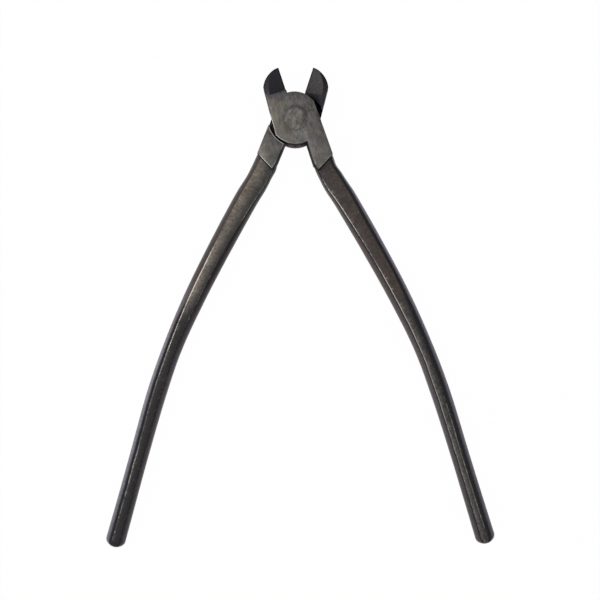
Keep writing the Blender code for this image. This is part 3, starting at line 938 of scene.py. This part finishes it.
def forge_scale(name, turn, flat_tones, marks, flank_sheen_tones, black_bands, outer_shade_inset, inner_wear_and_glint, outer_wear_and_glint):
    """Black forge scale of the handles, rubbed through on the flats and the flats' edges, with painted light
    and shade.

    Tones are near the head and near the end, each on the inner and on the outer side of the handle. The
    flats' tones are painted lighter on the side that faces the key light, and the flanks' tones are a painted
    reflection of the floor and the key light. marks is the strength of the grinding marks across the flats
    near the head.
    The outer flank stays black beside the flat for black_bands millimetres near the head and near the end.
    The
    other three are stops along the handle: how far in millimetres the flat's tone stops short of its outer
    edge, which leaves painted shade there, and the wear of the flat's inner and outer edges, stronger on the
    edges that face the key light as a painted highlight.
    """
    material, start, shader = new_finish(name)
    place = closed_frame_mm(start, turn)

    def attribute(title):
        return start.node("ShaderNodeAttribute", {"attribute_name": title}, output="Fac")

    along = attribute("along") / MM
    across = attribute("across")
    side = across.ramp(-0.3, 0.3)
    share = along * (MM / (HANDLE_REACH - HANDLE_START))
    # The flat's tone stops short of its outer edge by this inset, which leaves painted shade on the flat's
    # outer part
    shade_inset_stops = start.node("ShaderNodeValToRGB", {"stops": outer_shade_inset}, {"Fac": share})
    edge = attribute("edge") / MM - side * shade_inset_stops
    on_flat = edge.ramp(-0.15, 0.15)
    near_head = along.ramp(79.0, 63.0)

    def by_side(tones, outwards, towards_head):
        near_inner, near_outer, far_inner, far_outer = (colour(*tone) for tone in tones)
        near = outwards.blend(near_inner, near_outer)
        return towards_head.blend(outwards.blend(far_inner, far_outer), near)

    grain = noise(place, 0.5, 5.0)
    speck = noise(place, 1.0, 3.0, roughness=0.6).ramp(0.4, 0.6)
    cloud = noise(place, 4.0, 3.0).ramp(0.35, 0.65)
    bar_place = start.node("ShaderNodeCombineXYZ", None, {"X": along, "Y": across * 4.0})
    hatch = noise(bar_place, 0.52, 1.0, (1.0, 8.0, 1.0)).ramp(0.4, 0.6)

    # Flanks, with a painted reflection of the floor and the key light, and a little glossier there
    inner_flank = edge.ramp(-0.45, -1.05)
    near_band, far_band = black_bands
    outer_flank = (edge + far_band + near_head * (near_band - far_band)).ramp(0.0, -1.3)
    flank_sheen = (inner_flank + side * (outer_flank - inner_flank)) * (1.0 - along.ramp(100.0, 165.0) * 0.3)
    flank_tone = speck.blend(colour(10, 9, 10), colour(26, 23, 25))
    flank_sheen_tone = by_side(flank_sheen_tones, side, along.ramp(100.0, 52.0))
    flank_tone = (flank_sheen * (0.75 + speck * 0.25)).blend(flank_tone, flank_sheen_tone)

    # Flats, with marks across them near the head, painted lighter on the side that faces the key light
    texture = cloud * 0.2 + speck * (0.6 - near_head * marks) + hatch * near_head * marks
    flat_tone = by_side(flat_tones, across.ramp(-1.0, 1.0), near_head)
    flat_tone = (texture * 0.85).blend(flat_tone, colour(24, 21, 20))
    tone = on_flat.blend(flank_tone, flat_tone)

    # Bare metal along the flats' edges, broken up, with scuffs beside it. Its strength on each side is partly
    # a painted highlight, stronger on the edges that face the key light
    inner = start.node("ShaderNodeValToRGB", {"stops": inner_wear_and_glint}, {"Fac": share})
    outer = start.node("ShaderNodeValToRGB", {"stops": outer_wear_and_glint}, {"Fac": share})
    plan = side.blend(inner, outer)
    rubbing = noise(place, 2.0, 4.0) * 0.7 + noise(place, 0.7, 3.0) * 0.9 - 0.8
    line = start.math("EXPONENT", edge * edge * -34.0) * (plan * 1.3 + rubbing - 0.3).ramp(0.1, 0.8)
    beside = start.math("EXPONENT", edge * edge * -0.8) * on_flat * plan ** 3.0
    scuff = beside * hatch.ramp(0.4, 0.9) * noise(place, 3.0, 3.0).ramp(0.44, 0.58)
    wear_and_glint = start.math("MAXIMUM", line, scuff * 0.7)
    tone = wear_and_glint.blend(tone, colour(166, 162, 152))

    # Sparse bright nicks and rust
    nick = noise(place, 0.8, 1.0).ramp(0.76, 0.81) * on_flat
    tone = (nick * 0.8).blend(tone, colour(150, 148, 142))
    rust = noise(place, 1.0, 2.0).ramp(0.72, 0.77)
    tone = (rust * 0.5).blend(tone, colour(128, 82, 52))

    # Painted shade in the corner where the bar leaves the root
    corner = start.math("EXPONENT", (attribute("from_root") / ROOT_SHADE_WIDTH) ** 2.0 * -1.0)
    tone = (corner * 0.9).blend(tone, colour(14, 12, 13))
    feed(shader, "Base Color", tone)
    feed(shader, "Metallic", wear_and_glint * 0.9)
    feed(shader, "Roughness", 0.38 - wear_and_glint * 0.08 - flank_sheen * 0.1 + grain * 0.12)
    shader.inputs["IOR"].default_value = 1.33
    feed(shader, "Normal", bump(grain, 0.03 * MM, 0.5))
    return material


def rivet_steel(name):
    """The flush end of the rivet, streaked, with a darker seam around it."""
    material, start, shader = new_finish(name)
    place = closed_frame_mm(start, (0.0, 0.0, HALF_OPENING))
    inputs = {"Vector": place, "Rotation": (0.0, 0.0, HALF_OPENING + math.radians(25.0))}
    slanted = start.node("ShaderNodeMapping", None, inputs)
    streak = noise(slanted, 0.7, 4.0, (1.0, 3.0, 1.0))
    mottle = noise(slanted, 1.2, 4.0, (1.0, 2.0, 1.0)).ramp(0.3, 0.7)
    stain = noise(place, 2.2, 3.0).ramp(0.42, 0.62)
    light = streak.ramp(0.3, 0.7) * 0.55 + mottle * 0.45
    tone = light.blend(colour(64, 62, 61), colour(132, 128, 122))
    tone = (stain * 0.35).blend(tone, colour(108, 94, 87))
    tone = rivet_shade(place).blend(tone, colour(50, 48, 50))
    tone = (rivet_seam(place) * 0.37).blend(tone, colour(48, 46, 46))
    feed(shader, "Base Color", tone)
    shader.inputs["Metallic"].default_value = 1.0
    feed(shader, "Roughness", 0.5 - streak * 0.12)
    feed(shader, "Normal", bump(streak, 0.02 * MM, 0.4))
    return material


# Finishes of the levers. Spots are (x, y, radius, strength) in millimetres in the lever's closed frame, and
# stops are (share of the handle, value)

DULL_SPOTS = [(-7.6, 3.0, 5.5, 0.9), (-6.8, -3.8, 6.0, 1.0), (-6.3, 10.5, 5.0, 1.0)]
JAW_SIDE_TONES = ((46, 45, 49), (58, 57, 59), (60, 50, 44), (52, 51, 56))


def front_finishes(turn):
    """The front lever's finishes, in the order of their numbers."""
    pale = [(2.0, -9.5, 6.0, 0.8), (5.0, -16.0, 6.0, 1.0), (6.3, -1.9, 3.0, 0.7)]
    # The bevel's tones are darker than the rear jaw's, partly as painted shade: this bevel faces away from
    # the key light
    bevel_tones = ((57, 56, 63), (72, 70, 76), (68, 63, 65), (57, 56, 63))
    rubbed = [
        (-9.5, 0.5, 5.0, 0.8), (-9.3, -5.0, 4.0, 0.9), (-7.2, -8.0, 3.0, 0.6),
        (-2.0, -10.3, 5.0, 0.35), (6.0, -20.5, 5.0, 0.6), (1.2, -15.0, 5.0, 0.2),
    ]
    # Flats are painted lighter on the side that faces the key light, the flanks' tones are a painted
    # reflection, the inset leaves painted shade and the edges' wear is partly a painted highlight
    flats = ((71, 60, 57), (76, 65, 58), (94, 91, 88), (36, 34, 33))
    flank_sheens = ((83, 71, 69), (104, 98, 116), (87, 79, 81), (104, 98, 112))
    outer_shade_inset = [
        (0.0, 0.9), (0.2, 0.85), (0.28, 0.35), (0.34, 0.05), (0.4, 0.3), (0.5, 0.5), (1.0, 0.45),
    ]
    inner_wear_and_glint = [
        (0.0, 0.1), (0.05, 0.35), (0.1, 0.85), (0.17, 0.85), (0.23, 0.55), (0.3, 0.55), (0.35, 0.9),
        (0.42, 0.85), (0.52, 0.68), (0.8, 0.6), (1.0, 0.4),
    ]
    outer_wear_and_glint = [
        (0.0, 0.05), (0.1, 0.1), (0.4, 0.25), (0.64, 0.35), (0.71, 0.54), (0.95, 0.54), (1.0, 0.4),
    ]
    # Brown beside the cheek, partly brown scale and partly painted light in the gap's shade
    brown_and_sheen_wall = [(1.2, -15.0, 5.0, 0.7)]
    return [
        ground_steel("front_ground_steel", turn, pale, DULL_SPOTS),
        jaw_steel("front_bevel_steel", turn, bevel_tones),
        jaw_steel("front_jaw_side", turn, JAW_SIDE_TONES),
        worn_rim("front_worn_rim", turn, rubbed),
        black_wall("front_black_wall", turn, (70, 50, 50), brown_and_sheen_wall),
        forge_scale(
            "front_forge_scale", turn, flats, 0.2, flank_sheens, (1.0, 1.35), outer_shade_inset, inner_wear_and_glint, outer_wear_and_glint,
        ),
    ]


def rear_finishes(turn):
    """The rear lever's finishes, in the order of their numbers."""
    pale = [(6.0, -17.0, 5.0, 0.7), (10.0, -12.5, 4.5, 1.0)]
    # The bevel's tones are paler than the front jaw's, partly as painted light: this bevel faces the key
    # light
    bevel_tones = ((74, 74, 78), (106, 105, 106), (104, 90, 78), (74, 74, 80))
    rubbed = [
        (9.0, -7.5, 3.5, 0.75), (5.5, -10.0, 4.0, 0.75), (1.6, -11.2, 3.0, 0.8),
        (6.0, -20.5, 5.0, 0.85),
    ]
    # Flats are painted lighter on the side that faces the key light, the flanks' tones are a painted
    # reflection, the inset leaves painted shade and the edges' wear is partly a painted highlight
    flats = ((54, 53, 54), (141, 130, 117), (29, 28, 33), (23, 22, 26))
    flank_sheens = ((46, 38, 38), (80, 67, 65), (72, 64, 70), (146, 139, 151))
    outer_shade_inset = [(0.0, 0.95), (0.08, 0.75), (0.15, 0.45), (0.3, 0.25), (0.42, 0.0)]
    inner_wear_and_glint = [
        (0.0, 0.2), (0.05, 0.5), (0.17, 0.55), (0.2, 0.22), (0.31, 0.22), (0.34, 0.42), (0.44, 0.42),
        (0.5, 0.3), (1.0, 0.3),
    ]
    outer_wear_and_glint = [
        (0.0, 0.15), (0.22, 0.25), (0.28, 0.7), (0.32, 1.0), (0.37, 0.95), (0.43, 0.7), (0.53, 0.68),
        (0.57, 0.58), (0.65, 0.48), (0.75, 0.47), (0.8, 0.6), (0.9, 0.52), (1.0, 0.42),
    ]
    # The mauve band under the front cheek is a painted reflection of the floor; the spots by the step are
    # painted light on a wall in shade
    brown_and_sheen_wall = [(-2.5, -10.3, 6.0, 1.0), (9.5, -4.0, 5.0, 0.4), (7.6, -6.7, 3.5, 0.5)]
    return [
        ground_steel("rear_ground_steel", turn, pale, DULL_SPOTS),
        jaw_steel("rear_bevel_steel", turn, bevel_tones),
        jaw_steel("rear_jaw_side", turn, JAW_SIDE_TONES),
        worn_rim("rear_worn_rim", turn, rubbed),
        black_wall("rear_black_wall", turn, (112, 95, 104), brown_and_sheen_wall),
        forge_scale(
            "rear_forge_scale", turn, flats, 0.3, flank_sheens, (-0.5, 0.9), outer_shade_inset, inner_wear_and_glint, outer_wear_and_glint,
        ),
    ]


# Stage


def floor_finish():
    """White to the camera and in reflections, with the object's shadow kept."""
    material = bpy.data.materials.new("floor")
    material.use_nodes = True
    tree = material.node_tree
    tree.nodes.clear()
    start = Wire(tree)
    seen = start.node("ShaderNodeLightPath", output="Is Camera Ray")
    glossy = start.node("ShaderNodeLightPath", output="Is Glossy Ray")
    shown = start.math("MINIMUM", seen + glossy, 1.0)
    white = start.node("ShaderNodeEmission", None, {"Color": (1.0, 1.0, 1.0, 1.0), "Strength": 1.0})
    matt = start.node("ShaderNodeBsdfDiffuse", None, {"Color": (0.8, 0.8, 0.8, 1.0)})
    surface = start.node("ShaderNodeMixShader", None, {0: shown * FLOOR_GLOW, 1: matt, 2: white})
    result = tree.nodes.new("ShaderNodeOutputMaterial")
    tree.links.new(surface.socket, result.inputs["Surface"])
    return material


def studio_world():
    """A soft bright ceiling over darker walls, a little lighter on the left and at the handles' end."""
    world = bpy.data.worlds.new("studio")
    world.use_nodes = True
    tree = world.node_tree
    start = Wire(tree)
    direction = start.node("ShaderNodeTexCoord", output="Generated")
    ceiling = along_axis(direction, "Z").ramp(0.0, 0.95)
    left = along_axis(direction, "X").ramp(0.0, -1.0)
    near = along_axis(direction, "Y").ramp(0.0, -1.0)
    strength = 0.12 + ceiling * 0.62 + (left * 0.28 + near * 0.25) * (1.0 - ceiling)
    background = tree.nodes["Background"]
    background.inputs["Color"].default_value = (0.97, 0.98, 1.0, 1.0)
    feed(background, "Strength", strength)
    return world


def soft_light(name, place, size, power):
    light = bpy.data.lights.new(name, "AREA")
    light.shape = "DISK"
    light.size = size
    light.energy = power
    obj = link(name, light)
    obj.location = place
    obj.rotation_mode = "QUATERNION"
    obj.rotation_quaternion = (Vector(LIT_PLACE) - Vector(place)).to_track_quat("-Z", "Y")


def make_stage():
    bm = bmesh.new()
    bmesh.ops.create_grid(bm, x_segments=1, y_segments=1, size=FLOOR_SIZE)
    bmesh.ops.translate(bm, vec=(0.0, 0.0, -FLOOR_DROP), verts=bm.verts)
    mesh = bpy.data.meshes.new("floor")
    bm.to_mesh(mesh)
    bm.free()
    mesh.materials.append(floor_finish())
    link("floor", mesh)
    bpy.context.scene.world = studio_world()
    soft_light("key", (-0.55, 0.0, 1.1), 0.8, 4.5)
    soft_light("fill", (0.9, -0.2, 0.9), 0.9, 0.8)


def make_camera():
    data = bpy.data.cameras.new("camera")
    data.lens = CAMERA_LENS
    data.sensor_width = CAMERA_SENSOR
    camera = link("camera", data)
    camera.location = CAMERA_PLACE
    camera.rotation_euler = (0.0, 0.0, CAMERA_ROLL)
    bpy.context.scene.camera = camera


def main():
    bpy.context.scene.view_settings.view_transform = "Standard"
    make_camera()
    make_stage()
    pivot = Matrix.Translation((0.0, 0.0, HALF_HEAD))
    front_place = pivot @ Matrix.Rotation(HALF_OPENING, 4, "Z")
    rear_place = pivot @ Matrix.Rotation(-HALF_OPENING, 4, "Z") @ Matrix.Rotation(math.pi, 4, "Y")
    tree = handle_tree()
    finishes = front_finishes((0.0, 0.0, HALF_OPENING))
    front = lever("front_forging", HANDLE_SET, FRONT_CHEEK_DROP, front_place, tree, finishes, FRONT_BAR)
    finishes = rear_finishes((0.0, math.pi, -HALF_OPENING))
    rear = lever("rear_forging", -HANDLE_SET, REAR_CHEEK_DROP, rear_place, tree, finishes, REAR_BAR)
    pin = rivet(pivot, rivet_steel("rivet_steel"))
    for piece, body, node, slot in (
        (front, "front_half", "front_lever", "forged_steel"),
        (rear, "rear_half", "rear_lever", "forged_steel"),
        (pin, "rear_half", "pivot_rivet", "rivet_steel"),
    ):
        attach(piece, body)
        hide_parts(node)


main()
